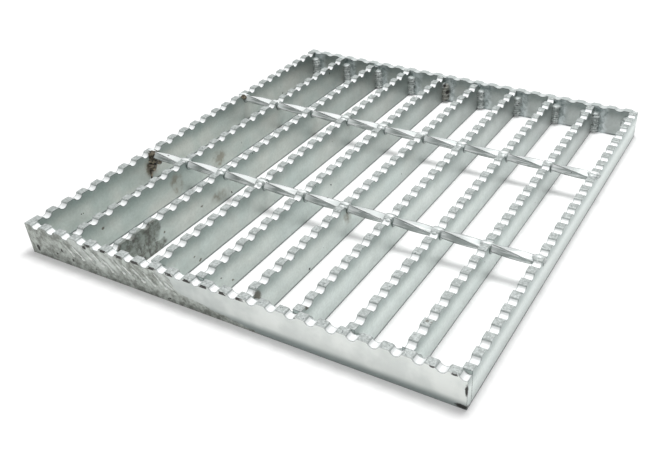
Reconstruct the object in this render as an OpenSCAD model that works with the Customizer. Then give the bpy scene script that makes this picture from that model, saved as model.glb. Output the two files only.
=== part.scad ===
// Serrated steel grating panel. Flat bearing bars stand on edge side by side, twisted square
// cross rods are forged into their tops, and a toothed end bar closes each end.
// Bearing bars run along Y, cross rods and end bars along X. The origin is the middle of the underside.

/* [Panel] */
// Number of bearing bars side by side
bar_count = 10; // [4:1:14]
// Spacing of the bearing bars, centre to centre
bar_pitch = 30; // [24:1:45]
// Length of the panel along the bearing bars, over both end bars
panel_length = 300; // [240:10:600]

/* [Flat bars] */
// Depth of every flat bar, from its underside to the lands between its notches
bar_depth = 20; // [16:1:40]
// Thickness of a bearing bar
bearing_thickness = 5; // [3:0.5:8]
// Thickness of an end bar
end_thickness = 5; // [3:0.5:8]

/* [Teeth] */
// Length of one tooth along a bar, notch to notch
tooth_pitch = 11.55; // [10:0.05:18]
// Length of the flat land between two notches
land_length = 4; // [2:0.25:6]
// Depth of a notch in the bearing bars and the front end bar
notch_depth = 2.4; // [1.2:0.1:2.8]
// Depth of a notch in the back end bar
back_notch_depth = 1.2; // [0.8:0.1:2.8]
// Radius that the punch leaves on both shoulders of a notch
shoulder_radius = 1.2; // [0.2:0.1:1.5]

/* [Cross rods] */
// Number of cross rods
rod_count = 2; // [1:1:3]
// Spacing of the cross rods, centre to centre
rod_pitch = 100; // [50:5:150]
// Side of the square stock that a cross rod is twisted from
rod_side = 4; // [3:0.25:6]
// Length of cross rod that makes one full turn of twist
rod_turn = 120; // [60:5:200]
// Gap between the top of a cross rod and the level of the lands
rod_set_down = 0.3; // [0.3:0.1:2]
// Gap between the flat top that the press leaves on a crossing and the level of the lands
press_set_down = 0.15; // [0.05:0.05:0.25]
// Distance from the end of a cross rod to the outer face of the outer bearing bars
rod_end_inset = 0.5; // [0.25:0.25:2]
// How far the metal squeezed out by forging stands off the rod and the sides of a bearing bar
forge_lip = 0.5; // [0.25:0.25:2]

/* [Welds] */
// Radius of the bead in each corner between a bearing bar and an end bar
bead_radius = 3; // [1.5:0.25:5]
// Distance from the underside of the bars to the bottom of a bead
bead_lift = 1; // [0:0.25:3]
// Distance from the bottom of the notches down to the top of a bead
bead_drop = 0.5; // [0:0.25:3]

/* [Hidden] */

zinc = [0.66, 0.70, 0.69];
weld_metal = [0.50, 0.53, 0.52];

// Slices that stand for one full turn of a cross rod, each with four sides
slices_per_turn = 48;
square_sides = 4;
// Sides that stand for one full circle
round_sides = 48;

bearing_length = panel_length - 2 * end_thickness;
first_bar_x = -(bar_count - 1) * bar_pitch / 2;
panel_width = (bar_count - 1) * bar_pitch + bearing_thickness;
first_rod_y = -(rod_count - 1) * rod_pitch / 2;
rod_length = panel_width - 2 * rod_end_inset;
rod_radius = rod_side / sqrt(2);
rod_z = bar_depth - rod_set_down - rod_radius;
notch_reach = (tooth_pitch - land_length) / 2;
arc_overlap = 0.02;
joint_radius = rod_radius + forge_lip;
joint_length = bearing_thickness + 2 * forge_lip;
bead_height = bar_depth - max(notch_depth, back_notch_depth) - bead_drop - bead_lift;

// Where the saw met the toothed stock: distance from the start of each bar to a notch, in teeth
bearing_notches = [0.65, 0.25, 0.05, 0.75, 0.65, 0.15, 0.68, 0.68, 0.3, 0.65];
front_notch = 0.68;
back_notch = 0.72;

// A land with its round shoulders, from the level where they meet the notches
module land() {
    translate([-land_length / 2, -shoulder_radius])
        square([land_length, shoulder_radius]);
    for (side = [-1, 1]) {
        translate([side * land_length / 2, -shoulder_radius])
            circle(shoulder_radius, $fn = round_sides);
    }
}

// The toothed edge of a bar seen from the side, with its lands at the level of bar_depth.
// The arcs of a notch and its shoulders all but touch end to end; arc_overlap lets them cross.
module toothed_outline(length, notch, depth) {
    centre_distance = (pow(notch_reach, 2) + pow(depth, 2)) / (2 * depth);
    notch_radius = centre_distance - shoulder_radius + arc_overlap;
    shoulder_drop = shoulder_radius * depth / centre_distance;
    first = -ceil(notch / tooth_pitch) - 1;
    last = ceil((length - notch) / tooth_pitch);
    difference() {
        union() {
            translate([-tooth_pitch, 0])
                square([length + 2 * tooth_pitch, bar_depth - shoulder_drop]);
            for (k = [first : last]) {
                translate([notch + (k + 0.5) * tooth_pitch, bar_depth])
                    land();
            }
        }
        for (k = [first : last]) {
            translate([notch + k * tooth_pitch, bar_depth - depth + notch_radius])
                circle(notch_radius, $fn = round_sides);
        }
    }
}

// A flat bar on edge along +X from the origin, sawn square from toothed stock at both ends
module toothed_bar(length, thickness, notch_share, depth) {
    translate([0, thickness / 2, 0])
        rotate([90, 0, 0])
            linear_extrude(thickness)
                intersection() {
                    toothed_outline(length, notch_share * tooth_pitch, depth);
                    square([length, 2 * bar_depth]);
                }
}

module bearing_bars() {
    for (i = [0 : bar_count - 1]) {
        notch_share = bearing_notches[i % len(bearing_notches)];
        translate([first_bar_x + i * bar_pitch, -bearing_length / 2, 0])
            rotate([0, 0, 90])
                toothed_bar(bearing_length, bearing_thickness, notch_share, notch_depth);
    }
}

// A square rod along X with a right-hand twist, its top face level at the middle of its length
module twisted_rod() {
    turns = rod_length / rod_turn;
    rotate([0, 90, 0])
        linear_extrude(
            height = rod_length,
            center = true,
            twist = -360 * turns,
            slices = ceil(turns * slices_per_turn),
            segments = square_sides
        )
            rotate([0, 0, -180 * turns])
                square(rod_side, center = true);
}

module cross_rods() {
    for (i = [0 : rod_count - 1]) {
        translate([0, first_rod_y + i * rod_pitch, rod_z])
            twisted_rod();
    }
}

// Metal squeezed out round the rod at each crossing, pressed flat just under the level of the lands
module forged_joints() {
    intersection() {
        for (i = [0 : bar_count - 1]) {
            for (j = [0 : rod_count - 1]) {
                translate([first_bar_x + i * bar_pitch, first_rod_y + j * rod_pitch, rod_z])
                    rotate([0, 90, 0])
                        cylinder(h = joint_length, r = joint_radius, center = true, $fn = round_sides);
            }
        }
        translate([-rod_length / 2, -bearing_length / 2, 0])
            cube([rod_length, bearing_length, bar_depth - press_set_down]);
    }
}

// Bearing bars and cross rods, one piece of steel where they cross
module welded_grid() {
    color(zinc)
        union() {
            bearing_bars();
            cross_rods();
            forged_joints();
        }
}

module end_bar(y, notch_share, depth) {
    color(zinc)
        translate([-panel_width / 2, y, 0])
            toothed_bar(panel_width, end_thickness, notch_share, depth);
}

module front_end_bar() {
    end_bar(-(panel_length - end_thickness) / 2, front_notch, notch_depth);
}

module back_end_bar() {
    end_bar((panel_length - end_thickness) / 2, back_notch, back_notch_depth);
}

// A quarter-round bead that fills the corner on the +X, +Y side of the origin
module weld_bead() {
    linear_extrude(bead_height)
        intersection() {
            circle(bead_radius, $fn = round_sides);
            square(bead_radius);
        }
}

// Beads in every inside corner of the front end, one each side of each gap between bearing bars
module corner_beads() {
    gap = bar_pitch - bearing_thickness;
    for (i = [0 : bar_count - 2]) {
        translate([first_bar_x + (i + 0.5) * bar_pitch, -bearing_length / 2, bead_lift]) {
            translate([-gap / 2, 0, 0])
                weld_bead();
            translate([gap / 2, 0, 0])
                mirror([1, 0, 0])
                    weld_bead();
        }
    }
}

module front_weld_beads() {
    color(weld_metal)
        corner_beads();
}

module back_weld_beads() {
    color(weld_metal)
        mirror([0, 1, 0])
            corner_beads();
}

welded_grid();
front_end_bar();
back_end_bar();
front_weld_beads();
back_weld_beads();
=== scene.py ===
# %% [markdown]
# # A serrated steel grating panel
#
# This lesson dresses a small panel of hot-dip galvanised bar grating. Ten flat bars stand on edge,
# two twisted square rods are forged into their tops, and a toothed bar is welded across each end.
# The bars, rods and welds come in as exact solids. Blender adds what a drawing of them leaves out:
# the clouded zinc, the runs that it froze into, the forging flash, the ridged and the burnt welds.

# %% Load the exact solids
import math
import bmesh
import bpy
from mathutils import Euler, Matrix, Vector, noise


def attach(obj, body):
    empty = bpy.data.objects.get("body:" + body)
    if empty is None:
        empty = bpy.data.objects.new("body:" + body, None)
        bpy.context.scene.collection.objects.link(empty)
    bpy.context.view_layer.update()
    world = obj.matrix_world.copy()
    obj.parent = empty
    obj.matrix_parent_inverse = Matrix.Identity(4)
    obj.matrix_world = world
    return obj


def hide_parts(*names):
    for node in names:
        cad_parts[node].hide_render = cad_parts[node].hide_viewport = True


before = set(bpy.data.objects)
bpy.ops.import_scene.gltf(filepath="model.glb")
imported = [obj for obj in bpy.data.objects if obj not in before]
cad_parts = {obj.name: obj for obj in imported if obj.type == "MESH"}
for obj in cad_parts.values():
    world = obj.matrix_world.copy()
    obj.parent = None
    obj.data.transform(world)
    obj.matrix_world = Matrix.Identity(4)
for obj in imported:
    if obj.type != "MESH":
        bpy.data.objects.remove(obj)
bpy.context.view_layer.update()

# %% [markdown]
# ## The sizes of the real thing
#
# Everything below is placed by the same few sizes that a fabricator would read off the drawing. Other
# sizes are worked out from them, so that nothing is measured twice. Sizes are in millimetres, and
# Blender counts in metres, so they are multiplied by `MM` where they are used.

# %% Sizes of the panel
MM = 0.001
BAR_COUNT = 10
BAR_PITCH = 30
BAR_THICKNESS = 5
BAR_DEPTH = 20
PANEL_LENGTH = 300
END_THICKNESS = 5
ROD_SPACING = 100
ROD_SIDE = 4
ROD_SET_DOWN = 0.3
ROD_END_INSET = 0.5
ROD_TURN = 120
TOOTH_PITCH = 11.55
FRONT_NOTCH = 0.68
PANEL_WIDTH = (BAR_COUNT - 1) * BAR_PITCH + BAR_THICKNESS
BAR_CENTRES = [(i - (BAR_COUNT - 1) / 2) * BAR_PITCH for i in range(BAR_COUNT)]
BAR_FACES = [centre + BAR_THICKNESS / 2 for centre in BAR_CENTRES]
END_INNER_FACE = PANEL_LENGTH / 2 - END_THICKNESS
ROD_LINES = [-ROD_SPACING / 2, ROD_SPACING / 2]
ROD_HEIGHT = round(BAR_DEPTH - ROD_SET_DOWN - ROD_SIDE / math.sqrt(2), 2)
ROD_LENGTH = PANEL_WIDTH - 2 * ROD_END_INSET
print("panel", PANEL_WIDTH, "by", PANEL_LENGTH, "mm, bars at", BAR_CENTRES)
print("rods", ROD_LENGTH, "mm long, their middle", ROD_HEIGHT, "mm up")

# %% [markdown]
# ## A short hand for shader nodes
#
# A procedural material is a small network. It could be wired node by node, but that takes many lines
# and hides the idea. Each helper below adds one node and returns the socket that carries its result,
# so that a material reads as a list of steps. An input takes either a plain value or another socket.

# %% Helpers for materials
def feed(tree, socket, value):
    if isinstance(value, bpy.types.NodeSocket):
        tree.links.new(value, socket)
    else:
        socket.default_value = value


def add_node(tree, kind, inputs=None, **settings):
    node = tree.nodes.new(kind)
    for name, value in settings.items():
        setattr(node, name, value)
    for name, value in (inputs or {}).items():
        feed(tree, node.inputs[name], value)
    return node


def new_material(name, roughness, metallic):
    material = bpy.data.materials.new(name)
    material.use_nodes = True
    tree = material.node_tree
    shader = tree.nodes["Principled BSDF"]
    shader.inputs["Roughness"].default_value = roughness
    shader.inputs["Metallic"].default_value = metallic
    return material, tree, shader


def calculate(tree, operation, first, second=0.0):
    return add_node(tree, "ShaderNodeMath", {0: first, 1: second}, operation=operation).outputs["Value"]


def times(tree, product, *factors):
    for factor in factors:
        product = calculate(tree, "MULTIPLY", product, factor)
    return product


def on_vectors(tree, operation, inputs):
    return add_node(tree, "ShaderNodeVectorMath", inputs, operation=operation).outputs


def blend(tree, share, first, second):
    return add_node(tree, "ShaderNodeMix", {0: share, 6: first, 7: second}, data_type="RGBA").outputs[2]


def ramp(tree, value, low, high, to_low=0.0, to_high=1.0):
    settings = {"Value": value, "From Min": low, "From Max": high, "To Min": to_low, "To Max": to_high}
    return add_node(tree, "ShaderNodeMapRange", settings, interpolation_type="SMOOTHSTEP").outputs["Result"]


print("material helpers ready")

# %% [markdown]
# ## Noise and relief
#
# Frozen metal is never even. Noise gives it clouds, and its size is given here in millimetres, as the
# size of one cloud. Relief is bump: it bends the light only, which is enough for a grain finer than
# half a millimetre. Anything taller is made as a shape further on.

# %% Helpers for noise and relief
def object_place(tree, squeeze=(1, 1, 1)):
    place = add_node(tree, "ShaderNodeTexCoord").outputs["Object"]
    return add_node(tree, "ShaderNodeMapping", {"Vector": place, "Scale": squeeze}).outputs["Vector"]


def clouds(tree, place, size, detail=4, roughness=0.55, warp=0.0):
    settings = {"Vector": place, "Scale": 1 / (size * MM), "Detail": detail,
                "Roughness": roughness, "Distortion": warp}
    return add_node(tree, "ShaderNodeTexNoise", settings).outputs["Fac"]


def relief(tree, height, distance, strength=1.0, under=None):
    settings = {"Height": height, "Distance": distance * MM, "Strength": strength}
    if under is not None:
        settings["Normal"] = under
    return add_node(tree, "ShaderNodeBump", settings).outputs["Normal"]


print("noise helpers ready")

# %% [markdown]
# ## Where on the panel a shader is
#
# Marks on real steel sit in places: near an edge, under a joint, at one end. So the shader first
# asks where it is. Place comes from the object itself, and facing comes from the surface. A stretch
# is a soft ramp along one axis, in millimetres. An edge is where the true normal and one that is
# rounded off over a short radius don't agree.

# %% Helpers for places
def parts_of(tree, vector):
    return add_node(tree, "ShaderNodeSeparateXYZ", {"Vector": vector}).outputs


def facing(tree):
    return parts_of(tree, add_node(tree, "ShaderNodeNewGeometry").outputs["True Normal"])


def stretch(tree, coordinate, low, high, to_low=0.0, to_high=1.0):
    return ramp(tree, coordinate, low * MM, high * MM, to_low, to_high)


def edge_share(tree, radius):
    rounded = add_node(tree, "ShaderNodeBevel", {"Radius": radius * MM}, samples=6).outputs["Normal"]
    sharp = add_node(tree, "ShaderNodeNewGeometry").outputs["Normal"]
    agree = on_vectors(tree, "DOT_PRODUCT", {0: rounded, 1: sharp})["Value"]
    return ramp(tree, agree, 0.995, 0.93)


print("place helpers ready")

# %% [markdown]
# ## Single marks
#
# A painted texture could carry each mark, but then the material would need a picture. Here a mark is
# an egg-shaped spot, given by its centre and its reach to each side, and its outline is made ragged
# by pushing the coordinates about with noise before the spot is measured.

# %% Helpers for marks
def ragged(tree, place, reach, size):
    noisy = add_node(tree, "ShaderNodeTexNoise", {"Vector": place, "Scale": 1 / (size * MM)})
    shift = on_vectors(tree, "SUBTRACT", {0: noisy.outputs["Color"], 1: (0.5, 0.5, 0.5)})["Vector"]
    move = on_vectors(tree, "SCALE", {0: shift, "Scale": reach * MM})["Vector"]
    return on_vectors(tree, "ADD", {0: place, 1: move})["Vector"]


def spot(tree, place, centre, reach, soft):
    scale = [1 / (side * MM) for side in reach]
    shift = [-middle / side for middle, side in zip(centre, reach)]
    local = add_node(tree, "ShaderNodeMapping", {"Vector": place, "Location": shift, "Scale": scale})
    away = on_vectors(tree, "LENGTH", {0: local.outputs["Vector"]})["Value"]
    return ramp(tree, away, soft, 1.0, 1.0, 0.0)


def spots(tree, place, marks, soft=0.45):
    share = 0.0
    for centre, reach in marks:
        share = calculate(tree, "MAXIMUM", spot(tree, place, centre, reach, soft), share)
    return share


print("mark helpers ready")

# %% [markdown]
# ## Zinc on the bars
#
# Hot-dip zinc is not one grey. It freezes in soft clouds, a little warm in their middles, and turns
# cool and green near the teeth. The bars at one side of this panel are darker than those at the
# other. Ten materials could say that, but one is easier to keep: its ground colour runs across the
# panel from dark to pale.

# %% Ground colour of the zinc
DARK_SIDE = (0.42, 0.49, 0.46, 1)
PALE_SIDE = (0.76, 0.82, 0.80, 1)
WARM_BLOOM = (0.70, 0.69, 0.64, 1)
TEAL_TOP = (0.42, 0.53, 0.51, 1)


def zinc_ground(tree, place):
    x, _, z = parts_of(tree, place)
    across = stretch(tree, x, -150, 140)
    cloud = ramp(tree, clouds(tree, place, 30, detail=3, warp=0.5), 0.28, 0.75)
    bloom = times(tree, cloud, ramp(tree, across, 0.0, 1.0, 0.5, 0.1))
    colour = blend(tree, bloom, blend(tree, across, DARK_SIDE, PALE_SIDE), WARM_BLOOM)
    cool = times(tree, stretch(tree, z, 12, 18), 0.45)
    return blend(tree, cool, colour, TEAL_TOP)


print("zinc runs from", DARK_SIDE[:3], "to", PALE_SIDE[:3])

# %% [markdown]
# ## Shade on the sides of the bars
#
# The sides are painted darker close under the teeth, near the ground and towards the back: painted
# shade of the tall thin gaps between bars. The outer side of the last bar gets no painted shade towards
# the back. Shade is kept apart from colour, as one number that the colour is multiplied by. A thin
# dark line along each edge and along the foot is painted shade too: a dark outline and a contact shadow.

# %% Shade and dark edges
def painted_shade(tree, place):
    x, y, z = parts_of(tree, place)
    # Painted shade: darker under the teeth, near the ground and towards the back, but not towards the back
    # on the open outer side.
    under_teeth = stretch(tree, z, 19, 10, 0.78, 1.05)
    near_ground = stretch(tree, z, 10, 3, 1.0, 0.86)
    past_middle = stretch(tree, y, 0, 35, 0.98, 0.86)
    at_back = stretch(tree, y, 85, 140, 1.0, 0.70)
    open_side = stretch(tree, x, 136.6, 137.2)
    to_back = calculate(tree, "MAXIMUM", times(tree, past_middle, at_back), open_side)
    return times(tree, under_teeth, near_ground, to_back)


def painted_edge_shade(tree, place, edge):
    # Painted shade: a dark line along each edge and a contact shadow along the foot.
    foot = stretch(tree, parts_of(tree, place)["Z"], 1.3, 0.5)
    return calculate(tree, "MAXIMUM", times(tree, edge, 0.9), foot)


print("shade helpers ready")

# %% [markdown]
# ## Lands and notches
#
# The lands are the flats that carry feet and other panels, so they are grey and scratched. The notches
# between them are never rubbed, and they are painted bright: a painted highlight, brightest along the
# middle of the bar, with a painted dark rim at their edges. Both face up, so height tells them apart.
# On the back bar the notches get no painted highlight, and its top is one grey.

# %% Tops of the teeth
LAND_GREY = (0.30, 0.33, 0.32, 1)
LAND_PALE = (0.60, 0.64, 0.63, 1)
NOTCH_SIDE = (0.60, 0.65, 0.64, 1)
HIGHLIGHT_WHITE = (0.88, 0.90, 0.90, 1)
BACK_TOP = (0.56, 0.61, 0.60, 1)
EDGE_DARK = (0.10, 0.12, 0.12, 1)
LAND_LEVEL = BAR_DEPTH - 1.0


def middle_of_bar(tree, place):
    x, y, _ = parts_of(tree, place)
    bays = calculate(tree, "FRACT", calculate(tree, "DIVIDE", x, BAR_PITCH * MM))
    off_bar = times(tree, calculate(tree, "ABSOLUTE", calculate(tree, "SUBTRACT", bays, 0.5)), BAR_PITCH)
    end_line = (PANEL_LENGTH - END_THICKNESS) / 2 * MM
    off_end = calculate(tree, "SUBTRACT", calculate(tree, "ABSOLUTE", y), end_line)
    off_end = times(tree, calculate(tree, "ABSOLUTE", off_end), 1 / MM)
    return ramp(tree, calculate(tree, "MINIMUM", off_bar, off_end), 2.5, 1.7)


def scratched_zinc(tree, place):
    hatch = clouds(tree, place, 1.3, detail=5, roughness=0.7)
    colour = blend(tree, ramp(tree, hatch, 0.3, 0.7), LAND_GREY, LAND_PALE)
    marks = ramp(tree, clouds(tree, place, 1.8, detail=3), 0.62, 0.68)
    return blend(tree, times(tree, marks, 0.7), colour, EDGE_DARK)


def dress_teeth(tree, place, colour, on_top, edge):
    _, y, z = parts_of(tree, place)
    land = stretch(tree, z, LAND_LEVEL, LAND_LEVEL + 0.5)
    notch = times(tree, on_top, calculate(tree, "SUBTRACT", 1.0, land))
    # Painted highlight: the notches are painted near white, brightest along the middle of the bar.
    bright = blend(tree, middle_of_bar(tree, place), NOTCH_SIDE, HIGHLIGHT_WHITE)
    colour = blend(tree, times(tree, on_top, land), colour, scratched_zinc(tree, place))
    colour = blend(tree, notch, colour, bright)
    # The back bar's top is painted one grey, without the notch highlight.
    colour = blend(tree, times(tree, on_top, stretch(tree, y, 144.5, 145.5), 0.7), colour, BACK_TOP)
    # Painted shade: a dark rim along the edges of the notches.
    rim = times(tree, edge, ramp(tree, notch, 0.0, 1.0, 0.15, 0.5), on_top)
    return blend(tree, rim, colour, EDGE_DARK)


print("lands start at", LAND_LEVEL, "mm")

# %% [markdown]
# ## The whole coat
#
# The layers go on in this order: ground colour, painted shade, painted dark edges, tops of the teeth
# with their painted highlights, and last the small black specks of dross. Zinc is a metal, but its
# level tops have dulled to a matt crust, so they are far less metallic than the sides.

# %% Galvanised steel
SPECK = (0.05, 0.05, 0.045, 1)


def zinc_coat(tree, shader, place):
    on_top = ramp(tree, facing(tree)["Z"], 0.35, 0.6)
    not_top = calculate(tree, "SUBTRACT", 1.0, on_top)
    edge = edge_share(tree, 1.0)
    fine = clouds(tree, place, 1.6, detail=5, roughness=0.65)
    shade = times(tree, ramp(tree, fine, 0.3, 0.7, 0.94, 1.06), painted_shade(tree, place))
    colour = on_vectors(tree, "SCALE", {0: zinc_ground(tree, place), "Scale": shade})["Vector"]
    # Painted shade along the edges and the foot of the sides.
    colour = blend(tree, times(tree, painted_edge_shade(tree, place, edge), not_top, 0.85), colour, EDGE_DARK)
    colour = dress_teeth(tree, place, colour, on_top, edge)
    dross = ramp(tree, clouds(tree, place, 4.2, detail=2), 0.755, 0.775)
    colour = blend(tree, times(tree, dross, not_top), colour, SPECK)
    gloss = ramp(tree, clouds(tree, place, 9, detail=4), 0.3, 0.7, 0.38, 0.52)
    gloss = ramp(tree, on_top, 0.0, 1.0, gloss, 0.5)
    tree.links.new(ramp(tree, on_top, 0.0, 1.0, 0.6, 0.15), shader.inputs["Metallic"])
    return colour, gloss, relief(tree, fine, 0.06, 0.6)


def finish_zinc(tree, shader, colour, gloss, bumps):
    tree.links.new(colour, shader.inputs["Base Color"])
    tree.links.new(gloss, shader.inputs["Roughness"])
    tree.links.new(bumps, shader.inputs["Normal"])


def dress_node(name, material):
    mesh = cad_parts[name].data
    mesh.materials.clear()
    mesh.materials.append(material)


print("coat ready for", len(BAR_CENTRES), "bars")

# %% [markdown]
# ## Smears beside the welds of the back bar
#
# Beside each weld of the back bar, on the right of every bar, the zinc is clouded dark and pale. One
# crust of noise serves them all. It is let through in a strip that repeats with the bars.

# %% Back end bar
SMEAR_DARK = (0.21, 0.26, 0.26, 1)
SMEAR_PALE = (0.72, 0.78, 0.79, 1)


def weld_smear(tree, place, colour):
    x = parts_of(tree, ragged(tree, place, 6, 7))["X"]
    bays = calculate(tree, "ADD", calculate(tree, "DIVIDE", x, BAR_PITCH * MM), BAR_COUNT + 0.5)
    right_of_bar = times(tree, calculate(tree, "FRACT", bays), BAR_PITCH)
    inner_face = ramp(tree, facing(tree)["Y"], -0.5, -0.9)
    share = times(tree, ramp(tree, right_of_bar, 15, 9), inner_face)
    crust = clouds(tree, place, 5, detail=5, roughness=0.7)
    shade = blend(tree, ramp(tree, crust, 0.35, 0.62), SMEAR_DARK, SMEAR_PALE)
    return blend(tree, times(tree, share, 0.75), colour, shade)


def make_smeared_zinc():
    material, tree, shader = new_material("galvanised_zinc", 0.42, 0.6)
    place = object_place(tree)
    colour, gloss, bumps = zinc_coat(tree, shader, place)
    finish_zinc(tree, shader, weld_smear(tree, place, colour), gloss, bumps)
    return material


galvanised_zinc = make_smeared_zinc()
dress_node("back_end_bar", galvanised_zinc)
print("back end bar has", len(galvanised_zinc.node_tree.nodes), "shader nodes")

# %% [markdown]
# ## Burns and stains on the grid
#
# Welding burns zinc off. Where the welder stopped, the steel is left brown or black, and dark tears
# run down from it. Each mark is given by its centre and its reach, in millimetres, on the side of
# one bar. The brown ones are thin and patchy, the burnt ones dense, and the nicks lie on the tops.

# %% Marks on the grid
BROWN_MARKS = [
    ((BAR_FACES[1], -64, 10), (3, 7, 9)),
    ((BAR_FACES[1], -22, 8), (3, 9, 7)),
    ((BAR_FACES[0], -54, 10), (3, 9, 9)),
    ((BAR_FACES[5], -52, 12), (3, 5, 7)),
    ((BAR_FACES[2], -60, 6), (3, 8, 6)),
]
BURNT_MARKS = [
    ((BAR_FACES[2], -134, 9), (3, 17, 19)),
    ((BAR_FACES[2], -122, 16), (3, 12, 10)),
    ((BAR_FACES[2], -118, 4), (3, 10, 4)),
]
BLACK_MARKS = [
    ((BAR_FACES[0], -50, 17), (4, 6, 7)),
    ((BAR_FACES[0], -56, 9), (3, 4, 6)),
    ((BAR_FACES[2], -76.5, 8), (2, 1.6, 0.9)),
    ((BAR_FACES[2], -109.5, 9), (2, 1.2, 1.2)),
    ((BAR_FACES[3], -115.4, 2.4), (2, 1.4, 0.9)),
    ((BAR_FACES[3], -119.5, 7.1), (2, 0.9, 0.9)),
    ((BAR_FACES[1], -126.5, 12.9), (2, 1.6, 1.0)),
    ((BAR_FACES[4], -124, 4.3), (2, 1.0, 1.0)),
    ((BAR_FACES[5], -140.5, 15), (3, 4, 5)),
]
TOP_NICKS = [
    ((BAR_FACES[6] - 1, -140, 19), (3.5, 2.5, 1.6)),
    ((BAR_FACES[7] - 2, -139, 19.6), (2.5, 1.6, 1.2)),
    ((BAR_FACES[7] - 2, -127, 19.6), (2.2, 1.4, 1.0)),
    ((BAR_FACES[6] - 3, -116, 19.6), (2.2, 1.4, 1.0)),
    ((BAR_FACES[8] - 2, -124, 19.6), (2.2, 1.4, 1.0)),
]
print(len(BROWN_MARKS), "brown,", len(BURNT_MARKS), "burnt,", len(BLACK_MARKS + TOP_NICKS), "black marks")

# %% [markdown]
# ## The stained grid
#
# Bars and rods are one solid, so they share one material: the zinc coat with the marks laid over it.
# Brown goes on first, then the burn, then the black, because that is how dark each of them is.

# %% Stained grid
BURN_BROWN = (0.10, 0.085, 0.06, 1)
OLD_BROWN = (0.24, 0.22, 0.17, 1)
CHAR_DARK = (0.09, 0.09, 0.075, 1)
CHAR_PALE = (0.30, 0.34, 0.31, 1)


def charred_zinc(tree, place):
    char = clouds(tree, place, 4, detail=6, roughness=0.75)
    colour = blend(tree, ramp(tree, char, 0.36, 0.62), CHAR_DARK, CHAR_PALE)
    tears = ramp(tree, clouds(tree, object_place(tree, (1, 1, 0.22)), 1.6, detail=2), 0.60, 0.66)
    low = stretch(tree, parts_of(tree, place)["Z"], 12, 9)
    return blend(tree, times(tree, tears, low), colour, SPECK)


def make_stained_zinc():
    material, tree, shader = new_material("stained_zinc", 0.42, 0.6)
    place = object_place(tree)
    colour, gloss, bumps = zinc_coat(tree, shader, place)
    loose = ragged(tree, place, 5, 6)
    patchy = ramp(tree, clouds(tree, place, 6, detail=4), 0.38, 0.58, 0.15, 0.75)
    brown = times(tree, spots(tree, loose, BROWN_MARKS), patchy)
    colour = blend(tree, brown, colour, OLD_BROWN)
    burnt = times(tree, spots(tree, loose, BURNT_MARKS, soft=0.8), 0.92)
    colour = blend(tree, burnt, colour, charred_zinc(tree, place))
    black = spots(tree, ragged(tree, place, 2.4, 1.4), BLACK_MARKS + TOP_NICKS, soft=0.5)
    colour = blend(tree, times(tree, black, 0.85), colour, BURN_BROWN)
    finish_zinc(tree, shader, colour, gloss, bumps)
    return material


stained_zinc = make_stained_zinc()
dress_node("welded_grid", stained_zinc)
print("grid has", len(stained_zinc.node_tree.nodes), "shader nodes")

# %% [markdown]
# ## The front bar: a tide line and two kinds of zinc
#
# A third of the front bar's face is rough and dark, mottled like old casting, and it ends in a clear
# tide line. The line falls steeply and then runs out along the bar, so it is the higher of two
# straight slopes that meet at one corner. The rest of the face is smooth and pale, with a dull band
# near the ground.

# %% Two kinds of zinc on one face
ROUGH_DARK = (0.22, 0.235, 0.21, 1)
ROUGH_PALE = (0.56, 0.60, 0.56, 1)
SMOOTH_PALE = (0.90, 0.93, 0.90, 1)
RUN_PALE = (0.78, 0.82, 0.79, 1)
LOW_BAND = (0.37, 0.42, 0.41, 1)
TIDE_CORNER = (-28, 8.9)
TIDE_SLOPES = (-1.6, -0.165)


def tide_share(tree, place):
    x, _, z = parts_of(tree, ragged(tree, place, 3, 5))
    from_corner = calculate(tree, "ADD", x, -TIDE_CORNER[0] * MM)
    steep, gentle = (times(tree, from_corner, slope) for slope in TIDE_SLOPES)
    level = calculate(tree, "ADD", calculate(tree, "MAXIMUM", steep, gentle), TIDE_CORNER[1] * MM)
    return stretch(tree, calculate(tree, "SUBTRACT", z, level), -0.4, 0.4)


def smooth_zinc(tree, place):
    x, _, z = parts_of(tree, place)
    low = stretch(tree, calculate(tree, "ADD", z, times(tree, x, 0.01)), 7.5, 2.5)
    dull = ramp(tree, clouds(tree, place, 16, detail=3), 0.35, 0.65, 0.25, 0.0)
    dull = calculate(tree, "ADD", dull, stretch(tree, x, 60, -40, 0.0, 0.35))
    return blend(tree, low, blend(tree, dull, SMOOTH_PALE, LOW_BAND), LOW_BAND)


def run_share(tree, place):
    x, y, z = parts_of(tree, place)
    slant = add_node(tree, "ShaderNodeCombineXYZ", {
        "X": calculate(tree, "ADD", x, z), "Y": y, "Z": times(tree, z, 0.3)})
    wide = clouds(tree, slant.outputs["Vector"], 7, detail=3)
    return times(tree, ramp(tree, wide, 0.47, 0.60), stretch(tree, z, 3, 10), stretch(tree, x, -112, -100))


def rough_zinc(tree, place, mottle):
    colour = blend(tree, ramp(tree, mottle, 0.36, 0.64), ROUGH_DARK, ROUGH_PALE)
    pits = ramp(tree, clouds(tree, place, 3.4, detail=2), 0.70, 0.74)
    colour = blend(tree, pits, colour, SPECK)
    return blend(tree, times(tree, run_share(tree, place), 0.5), colour, RUN_PALE)


print("tide line turns at", TIDE_CORNER, "mm on the face of the front bar")

# %% [markdown]
# ## Black marks on the front bar
#
# Under some lands of the front bar a short dash is painted black: a painted shadow of the gap under the
# land's edge. The dashes keep step with the teeth, so they are worked out from the pitch of the teeth,
# and only their outline is torn by noise. The few pits and the knocked corner are single marks.

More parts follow.
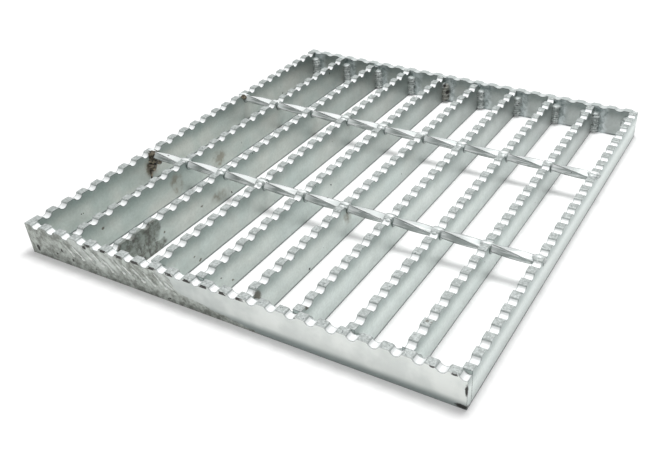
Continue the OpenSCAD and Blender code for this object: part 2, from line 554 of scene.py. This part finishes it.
# %% Dashes and pits
FRONT_FACE = -PANEL_LENGTH / 2
PITS = [
    ((-132, FRONT_FACE, 4.7), (1.6, 2, 3.0)),
    ((-112, FRONT_FACE, 8.8), (1.0, 2, 1.6)),
    ((-104.5, FRONT_FACE, 4.4), (1.0, 2, 1.4)),
    ((-92, FRONT_FACE, 17.2), (1.8, 2, 1.5)),
]
KNOCKED_EDGES = [
    ((135, FRONT_FACE, 1.5), (4.5, 4, 1.6)),
    ((137, FRONT_FACE, 12), (0.9, 2, 4.5)),
    ((131, FRONT_FACE + 1, 19.2), (2.5, 3, 0.9)),
    ((136.5, FRONT_FACE + 3, 19.4), (1.6, 3, 1.2)),
    ((120, FRONT_FACE, 19.4), (2.0, 2, 0.7)),
    ((46, FRONT_FACE + 1, 19.4), (2.2, 3, 0.8)),
]


def painted_land_shadows(tree, place):
    x, _, z = parts_of(tree, place)
    first_notch = PANEL_WIDTH / 2 - FRONT_NOTCH * TOOTH_PITCH
    teeth = calculate(tree, "DIVIDE", calculate(tree, "ADD", x, first_notch * MM), TOOTH_PITCH * MM)
    along_tooth = calculate(tree, "FRACT", calculate(tree, "ADD", teeth, 20))
    from_land = calculate(tree, "ABSOLUTE", calculate(tree, "SUBTRACT", along_tooth, 0.5))
    torn = ramp(tree, clouds(tree, object_place(tree), 2.5, detail=3), 0.3, 0.7, -0.1, 0.1)
    share = ramp(tree, calculate(tree, "ADD", from_land, torn), 0.20, 0.15)
    return times(tree, share, stretch(tree, z, 17.9, 18.2), stretch(tree, x, -94, -88),
                 stretch(tree, x, 19, 13))


print(len(PITS), "pits and", len(KNOCKED_EDGES), "knocked edges on the front bar")

# %% [markdown]
# ## The whole front bar
#
# Only the outer face has the tide line. The other sides keep the plain coat, so the two kinds of zinc
# are let through where the surface faces out, with a painted dark line at its edges. The black marks
# and the painted shadows under the lands go on last.

# %% Front end bar
def make_tide_zinc():
    material, tree, shader = new_material("tide_marked_zinc", 0.42, 0.55)
    place = object_place(tree)
    colour, gloss, bumps = zinc_coat(tree, shader, place)
    outer_face = ramp(tree, facing(tree)["Y"], -0.5, -0.8)
    smooth = tide_share(tree, place)
    mottle = clouds(tree, place, 4.5, detail=6, roughness=0.72)
    face = blend(tree, smooth, rough_zinc(tree, place, mottle), smooth_zinc(tree, place))
    # Painted shade: a dark line along the edges of the front face.
    face = blend(tree, times(tree, edge_share(tree, 0.55), 0.6), face, EDGE_DARK)
    colour = blend(tree, outer_face, colour, face)
    black = spots(tree, ragged(tree, place, 1.2, 1.5), PITS + KNOCKED_EDGES, soft=0.5)
    colour = blend(tree, black, colour, SPECK)
    # Painted shadow: black dashes under the lands, in step with the teeth.
    colour = blend(tree, times(tree, outer_face, painted_land_shadows(tree, place)), colour, SPECK)
    gloss = ramp(tree, times(tree, outer_face, smooth), 0.0, 1.0, gloss, 0.5)
    finish_zinc(tree, shader, colour, gloss, relief(tree, mottle, 0.35, 0.5, bumps))
    return material


tide_zinc = make_tide_zinc()
dress_node("front_end_bar", tide_zinc)
print("front end bar has", len(tide_zinc.node_tree.nodes), "shader nodes")

# %% [markdown]
# ## Weld metal
#
# Beads are duller than the bars and pitted, painted darker where they face up as painted shade, and
# one bead at the back has rusted and blown three holes. The welds on the left rod ends were made last,
# without fresh zinc: they are black and brown with a crust of cream slag. One function makes both,
# with other colours and more pits.

# %% Weld metals
RUSTY_BEAD = [((-9.5, 143, 7), (4, 4, 9))]
BLOW_HOLES = [
    ((-10.5, 142, 14.5), (1.7, 5, 2.0)),
    ((-8.3, 142, 9), (1.8, 5, 2.0)),
    ((-9.2, 142, 1.8), (1.6, 5, 1.4)),
]


def make_weld_metal(name, pale, dark, black_share):
    material, tree, shader = new_material(name, 0.55, 0.4)
    place = object_place(tree)
    mottle = clouds(tree, place, 2.6, detail=5, roughness=0.65)
    colour = blend(tree, ramp(tree, mottle, 0.38, 0.62), dark, pale)
    # Painted shade: darker where the weld faces up.
    colour = blend(tree, ramp(tree, facing(tree)["Z"], 0.1, 0.8, 0.0, 0.8), colour, dark)
    pits = ramp(tree, clouds(tree, place, 3.1, detail=2), 0.72 - black_share, 0.76 - black_share)
    colour = blend(tree, pits, colour, SPECK)
    rusty = spots(tree, ragged(tree, place, 1, 3), RUSTY_BEAD, soft=0.9)
    colour = blend(tree, times(tree, rusty, 0.6), colour, OLD_BROWN)
    holes = spots(tree, ragged(tree, place, 0.6, 1.2), BLOW_HOLES, soft=0.4)
    tree.links.new(blend(tree, holes, colour, SPECK), shader.inputs["Base Color"])
    tree.links.new(relief(tree, mottle, 0.3, 0.7), shader.inputs["Normal"])
    return material


weld_metal = make_weld_metal("weld_metal", (0.80, 0.83, 0.82, 1), (0.42, 0.46, 0.45, 1), 0.05)
burnt_weld = make_weld_metal("burnt_weld", (0.34, 0.30, 0.22, 1), (0.05, 0.04, 0.03, 1), 0.14)
dress_node("front_weld_beads", weld_metal)
dress_node("back_weld_beads", weld_metal)
print("weld metals:", weld_metal.name, burnt_weld.name)

# %% [markdown]
# ## A short hand for shapes
#
# Every added piece starts as an empty bmesh. Lumps of metal are stretched balls: several of them in
# one mesh, overlapping and a little roughened, look like metal that ran and froze in laps. They are
# left overlapping, because joining them would cost much time and show nothing.

# %% Helpers for shapes
def add_piece(name, shape, material):
    bmesh.ops.recalc_face_normals(shape, faces=shape.faces)
    mesh = bpy.data.meshes.new(name)
    shape.to_mesh(mesh)
    shape.free()
    mesh.materials.append(material)
    mesh.shade_smooth()
    piece = bpy.data.objects.new(name, mesh)
    bpy.context.scene.collection.objects.link(piece)
    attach(piece, "root")
    return piece


def add_lump(shape, centre, size, turn=(0, 0, 0), detail=2):
    angles = Euler([math.radians(angle) for angle in turn])
    place = Matrix.LocRotScale(Vector(centre) * MM, angles, Vector(size) * MM)
    bmesh.ops.create_icosphere(shape, subdivisions=detail, radius=0.5, matrix=place)


def roughen(piece, height, size):
    for vertex in piece.data.vertices:
        lift = noise.noise(vertex.co / (size * MM)) + 0.5 * noise.noise(vertex.co / (0.4 * size * MM))
        vertex.co += vertex.normal * lift * height * MM


def report(piece):
    print(piece.name, "has", len(piece.data.polygons), "faces")


print("shape helpers ready")

# %% [markdown]
# ## Zinc on the cross rods
#
# A twisted rod throws back light in long streaks, with a dark line along each of its four edges. Here
# that light is painted. The plain coat has no direction, so the rods get painted light of their own:
# noise drawn out along the rod, by squeezing its coordinates, is added to how far a facet faces up,
# and facets that face up are painted lighter than those that face down. Painted highlights follow the
# streaks, and a painted dark line runs along each edge. The painted light is bright at the left of the
# panel and greyer at the right.

# %% Rod zinc
ROD_SHADE = (0.46, 0.50, 0.49, 1)
ROD_LIGHT = (0.64, 0.68, 0.67, 1)
ROD_BRIGHT = (0.86, 0.90, 0.89, 1)


def make_rod_zinc():
    material, tree, shader = new_material("rod_zinc", 0.45, 0.2)
    place = object_place(tree)
    # Painted light: facets that face up are lighter, brighter at the left of the panel; the drawn-out
    # streaks are painted highlights and the edges a painted dark line.
    streak = clouds(tree, object_place(tree, (0.08, 1, 1)), 1.3, detail=4)
    turned = calculate(tree, "ADD", facing(tree)["Z"], times(tree, streak, 0.3))
    light = blend(tree, stretch(tree, parts_of(tree, place)["X"], -100, 100), ROD_BRIGHT, ROD_LIGHT)
    colour = blend(tree, ramp(tree, turned, 0.25, 0.75), ROD_SHADE, light)
    colour = blend(tree, ramp(tree, streak, 0.50, 0.60), colour, HIGHLIGHT_WHITE)
    colour = blend(tree, times(tree, edge_share(tree, 1.1), 0.85), colour, EDGE_DARK)
    pits = ramp(tree, clouds(tree, place, 4, detail=2), 0.72, 0.75)
    tree.links.new(blend(tree, pits, colour, SPECK), shader.inputs["Base Color"])
    tree.links.new(relief(tree, streak, 0.15, 0.6), shader.inputs["Normal"])
    return material


rod_zinc = make_rod_zinc()
print("rod zinc has", len(rod_zinc.node_tree.nodes), "shader nodes")

# %% [markdown]
# ## Smooth skins on the cross rods
#
# The solids take the twist in coarse steps, and the flat triangles of a step stand a little proud of
# the true square. A skin wider by `SKIN_GROWTH` covers them. One square, spun along the rod while it
# turns, makes the whole twist in one go: the spin operator takes an angle and a distance together,
# which is just what a twist is. Many fine steps keep the facets smooth, and the four edges are
# marked sharp.

# %% Twisted rod skins
SKIN_GROWTH = 0.3
SKIN_SIDE = ROD_SIDE + SKIN_GROWTH
SKIN_STEPS = 720
SHARP_ANGLE = 40


def spin_rod_skin(shape, rod_line):
    bmesh.ops.create_grid(shape, x_segments=1, y_segments=1, size=SKIN_SIDE / 2 * MM)
    section = list(shape.faces)[0]
    first_turn = -360 * (ROD_LENGTH / 2) / ROD_TURN
    stand_up = Matrix.Rotation(math.radians(first_turn), 3, "X") @ Matrix.Rotation(math.radians(90), 3, "Y")
    bmesh.ops.transform(shape, matrix=stand_up.to_4x4(), verts=section.verts)
    start = Vector((-ROD_LENGTH / 2, rod_line, ROD_HEIGHT)) * MM
    bmesh.ops.translate(shape, verts=section.verts, vec=start)
    bmesh.ops.spin(shape, geom=[section] + list(section.edges) + list(section.verts), cent=start,
                   axis=(1, 0, 0), dvec=(ROD_LENGTH / SKIN_STEPS * MM, 0, 0),
                   angle=math.radians(360 * ROD_LENGTH / ROD_TURN), steps=SKIN_STEPS)


def make_rod_skins():
    whole = bmesh.new()
    for rod_line in ROD_LINES:
        one = bmesh.new()
        spin_rod_skin(one, rod_line)
        mesh = bpy.data.meshes.new("one_rod")
        one.to_mesh(mesh)
        one.free()
        whole.from_mesh(mesh)
        bpy.data.meshes.remove(mesh)
    piece = add_piece("rod_skins", whole, rod_zinc)
    piece.data.set_sharp_from_angle(angle=math.radians(SHARP_ANGLE))
    return piece


report(make_rod_skins())

# %% [markdown]
# ## Flash at the crossings
#
# Each crossing is forged: the rod is pressed into the tooth edge while both are hot, and metal
# squeezes out over the bar, in front of the rod, behind it and down the sides of the bar. A crossing
# is a saddle lump, two knobs and three small tears. It could be sculpted once and copied, but then
# all twenty would be twins, so a loop builds each one and noise sways it. On the outer bars the flash
# sits a little inwards, so that it hardly stands past the outer face.

# %% Forging flash
OUTER_SHIFT = 0.6


def add_crossing(shape, x, y, seed):
    sway = [noise.noise(Vector((seed * 3.7, k * 2.3, 0.5))) for k in range(8)]
    add_lump(shape, (x, y, 18.0), (9.4 + sway[0], 4.8, 5.0))
    add_lump(shape, (x + 0.8 * sway[1], y - 2.8, 18.2), (4.4, 3.6 + sway[2], 3.4))
    add_lump(shape, (x + 0.8 * sway[3], y + 2.9, 17.6), (4.2, 3.2 + sway[4], 3.4))
    add_lump(shape, (x + 2.8, y - 2.0, 16.6 + sway[5]), (1.2, 2.0, 2.2), (0, 20, 30 + 40 * sway[6]), 1)
    add_lump(shape, (x + 2.7, y + 1.8, 16.6), (1.2, 1.8, 2.0), (0, 20, -30), 1)
    add_lump(shape, (x - 2.9, y - 2.0, 16.0 + sway[7]), (1.6, 2.2, 2.6), (0, -20, -30), 1)


def make_flash():
    whole = bmesh.new()
    outer = BAR_CENTRES[-1]
    for i, x in enumerate(BAR_CENTRES):
        for j, y in enumerate(ROD_LINES):
            inward = -math.copysign(OUTER_SHIFT, x) if abs(x) == outer else 0
            add_crossing(whole, x + inward, y, i + 20 * j)
    # The flash wears the rod zinc, so it gets the same painted light and shade.
    piece = add_piece("forging_flash", whole, rod_zinc)
    roughen(piece, 0.35, 2.0)
    return piece


report(make_flash())

# %% [markdown]
# ## Burnt welds on two rod ends
#
# At the left edge both rods were welded again. The big lump stands over the bar and has run down its
# inner side, and the small one sits in the corner. One ball, pushed in and out by noise, would look
# like clay. Layers of lumps give the laps of a real crust, each turned and set a little lower than
# the last.

# %% Burnt welds
BIG_WELD_LUMPS = 14
TRICKLE_LUMPS = 5
SMALL_WELD_LUMPS = 4


def make_burnt_welds():
    whole = bmesh.new()
    side = BAR_FACES[0]
    front, back = ROD_LINES
    for k in range(BIG_WELD_LUMPS):
        turn = k * 2.4
        reach = 0.35 * k
        centre = (side - 0.6 + 0.8 * math.cos(turn), front - 1.5 + reach * math.sin(turn), 18.6 - 0.75 * k)
        add_lump(whole, centre, (5.2, 6.0, 3.4), (20 * k, 0, 50 * k))
    for k in range(TRICKLE_LUMPS):
        add_lump(whole, (side + 0.1, front - 4.5 - 0.5 * k, 11 - 2.0 * k), (1.0, 2.0, 3.4), detail=1)
    for k in range(SMALL_WELD_LUMPS):
        add_lump(whole, (side - 0.2, back - 2.5 + 1.4 * k, 18.6 - 0.8 * k), (5.2, 4.4, 3.4), (0, 0, 50 * k))
    piece = add_piece("burnt_welds", whole, burnt_weld)
    roughen(piece, 0.5, 1.8)
    return piece


report(make_burnt_welds())

# %% [markdown]
# ## Weld beads
#
# A bearing bar is held to the end bar by a short bead in each inside corner. A bead is a row of
# puddles, each frozen on the last. A smooth roll with bump could stand for it, but its outline would
# be straight, so it is built as a stack of flat balls that wander a little. The ridged beads are
# shown in place of the plain ones, which stay in the exact model.

# %% Ridged weld beads
PUDDLE_COUNT = 8
PUDDLE_FIRST = 2.4
PUDDLE_STEP = 1.7
PUDDLE_HEIGHT = 2.8
PUDDLE_WIDTH = 6.8
OFF_BAR = 1.4
OFF_END = 1.0


def add_bead(shape, x, y, side, seed):
    for k in range(PUDDLE_COUNT):
        level = PUDDLE_FIRST + k * PUDDLE_STEP
        sway = noise.noise(Vector((seed * 5.1, level * 0.9, 0.3)))
        width = PUDDLE_WIDTH + 1.6 * sway
        add_lump(shape, (x + side * (OFF_BAR + 0.4 * sway), y, level), (width, width, PUDDLE_HEIGHT))


def make_beads(name, node, end):
    whole = bmesh.new()
    y = end * (END_INNER_FACE - OFF_END)
    for i, x in enumerate(BAR_CENTRES):
        for side in (-1, 1):
            if 0 <= i + side < BAR_COUNT:
                add_bead(whole, x + side * BAR_THICKNESS / 2, y, side, i * 2 + side + 40 * end)
    piece = add_piece(name, whole, weld_metal)
    roughen(piece, 0.35, 1.6)
    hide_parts(node)
    return piece


report(make_beads("front_bead_ridges", "front_weld_beads", -1))
report(make_beads("back_bead_ridges", "back_weld_beads", 1))

# %% [markdown]
# ## Runs of zinc on the front bar
#
# When a panel comes out of the bath tilted, zinc runs down its face and freezes in slanting ridges.
# The rough end of this front bar has a row of them. Bump could draw them too, but they are thick
# enough to catch light from the side, so each is a long thin lump, half sunk in the face, with a
# drop at its lower end.

# %% Zinc runs
RUN_COUNT = 11
RUN_FIRST = -106
RUN_STEP = 7.4
RUN_LENGTH = 10.5
RUN_TURN = 43


def make_run_zinc():
    material, tree, shader = new_material("run_zinc", 0.45, 0.4)
    mottle = clouds(tree, object_place(tree), 3, detail=4)
    colour = blend(tree, ramp(tree, mottle, 0.35, 0.65), ROUGH_PALE, SMOOTH_PALE)
    tree.links.new(colour, shader.inputs["Base Color"])
    return material


def make_runs():
    whole = bmesh.new()
    for k in range(RUN_COUNT):
        sway = noise.noise(Vector((k * 1.7, 0.4, 0.9)))
        middle = (RUN_FIRST + k * RUN_STEP + 2 * sway, FRONT_FACE, 12.2 + 2 * sway)
        add_lump(whole, middle, (RUN_LENGTH + 4 * sway, 1.0, 1.9), (0, RUN_TURN + 12 * sway, 0))
        drop = (middle[0] + 3.6, FRONT_FACE, middle[2] - 3.6)
        add_lump(whole, drop, (3.2, 1.3, 2.4), (0, RUN_TURN, 0))
    piece = add_piece("zinc_runs", whole, make_run_zinc())
    roughen(piece, 0.25, 2.5)
    return piece


report(make_runs())

# %% [markdown]
# ## A pale floor that keeps its shadow
#
# The panel lies on a white sheet. The sheet is an ordinary pale surface, so shadows fall on it. A
# glow that only the camera and reflections see lifts it to white. Near the panel the glow is faint
# and the shadows stay. It grows with distance, so the sheet meets the white room without an edge.

# %% Floor
FLOOR_HALF = 4000
GLOW_NEAR = 0.13
GLOW_STARTS = 240
GLOW_FULL = 500


def make_white_sheet():
    material, tree, shader = new_material("white_sheet", 0.9, 0.0)
    shader.inputs["Base Color"].default_value = (0.88, 0.88, 0.88, 1)
    shader.inputs["Specular IOR Level"].default_value = 0.0
    rays = add_node(tree, "ShaderNodeLightPath").outputs
    seen = calculate(tree, "MAXIMUM", rays["Is Camera Ray"], rays["Is Glossy Ray"])
    away = on_vectors(tree, "LENGTH", {0: object_place(tree)})["Value"]
    strength = times(tree, seen, stretch(tree, away, GLOW_STARTS, GLOW_FULL, GLOW_NEAR, 1.0))
    glow = add_node(tree, "ShaderNodeEmission", {"Color": (1, 1, 1, 1), "Strength": strength})
    both = add_node(tree, "ShaderNodeAddShader", {0: shader.outputs["BSDF"], 1: glow.outputs["Emission"]})
    tree.links.new(both.outputs["Shader"], tree.nodes["Material Output"].inputs["Surface"])
    return material


def make_floor():
    shape = bmesh.new()
    bmesh.ops.create_grid(shape, x_segments=1, y_segments=1, size=FLOOR_HALF * MM)
    mesh = bpy.data.meshes.new("floor")
    shape.to_mesh(mesh)
    shape.free()
    mesh.materials.append(make_white_sheet())
    sheet = bpy.data.objects.new("floor", mesh)
    bpy.context.scene.collection.objects.link(sheet)
    return sheet


floor = make_floor()
print("floor", tuple(round(v, 2) for v in floor.dimensions))

# %% [markdown]
# ## Light
#
# A small lamp almost overhead draws the shadows of the rods. A wide white ceiling fills the notches
# with light, and the room round it stays dim, so that level faces look grey between bright notches.
# The camera itself sees the room as white. Lamps and camera stand well away from the panel, and are
# placed in metres.

# %% Lamp, ceiling and dim room
ROOM_LEVEL = 0.22


def make_soft_box(name, place, aim, size, power):
    data = bpy.data.lights.new(name, "AREA")
    data.shape = "SQUARE"
    data.size = size
    data.energy = power
    lamp = bpy.data.objects.new(name, data)
    lamp.visible_camera = False
    lamp.location = place
    lamp.rotation_euler = (Vector(aim) - Vector(place)).to_track_quat("-Z", "Y").to_euler()
    bpy.context.scene.collection.objects.link(lamp)
    return lamp


def make_room(level):
    world = bpy.data.worlds.new("white_room")
    world.use_nodes = True
    tree = world.node_tree
    rays = add_node(tree, "ShaderNodeLightPath").outputs
    seen = calculate(tree, "MAXIMUM", rays["Is Camera Ray"], rays["Is Transmission Ray"])
    strength = add_node(tree, "ShaderNodeMapRange", {"Value": seen, "To Min": level, "To Max": 1.0})
    background = tree.nodes["Background"]
    background.inputs["Color"].default_value = (1, 1, 1, 1)
    tree.links.new(strength.outputs["Result"], background.inputs["Strength"])
    bpy.context.scene.world = world


key = make_soft_box("key_lamp", (0.06, 0.12, 0.95), (0, 0, 0), 0.33, 6.5)
ceiling = make_soft_box("ceiling", (0, 0, 0.80), (0, 0, 0), 1.6, 4.4)
make_room(ROOM_LEVEL)
print("key lamp of", key.data.size, "m, ceiling of", ceiling.data.size, "m")

# %% [markdown]
# ## Camera
#
# The camera looks down at the near corner from a little above the panel, close enough for the far
# end to look clearly smaller. A small shift of the lens places the panel in the frame without
# turning the camera.

# %% Camera
CAMERA_PLACE = (0.2263, -0.3741, 0.2572)
CAMERA_TURN = (53.79, 0.64, 27.52)
LENS_LENGTH = 42.64
LENS_SHIFT = (-0.123, 0.06)


def make_camera():
    data = bpy.data.cameras.new("camera")
    data.lens = LENS_LENGTH
    data.shift_x, data.shift_y = LENS_SHIFT
    data.clip_start = 0.01
    camera = bpy.data.objects.new("camera", data)
    camera.location = CAMERA_PLACE
    camera.rotation_euler = Euler([math.radians(angle) for angle in CAMERA_TURN])
    bpy.context.scene.collection.objects.link(camera)
    bpy.context.scene.camera = camera
    return camera


camera = make_camera()
bpy.context.scene.view_settings.view_transform = "Standard"
print("camera at", tuple(round(v, 3) for v in camera.location))
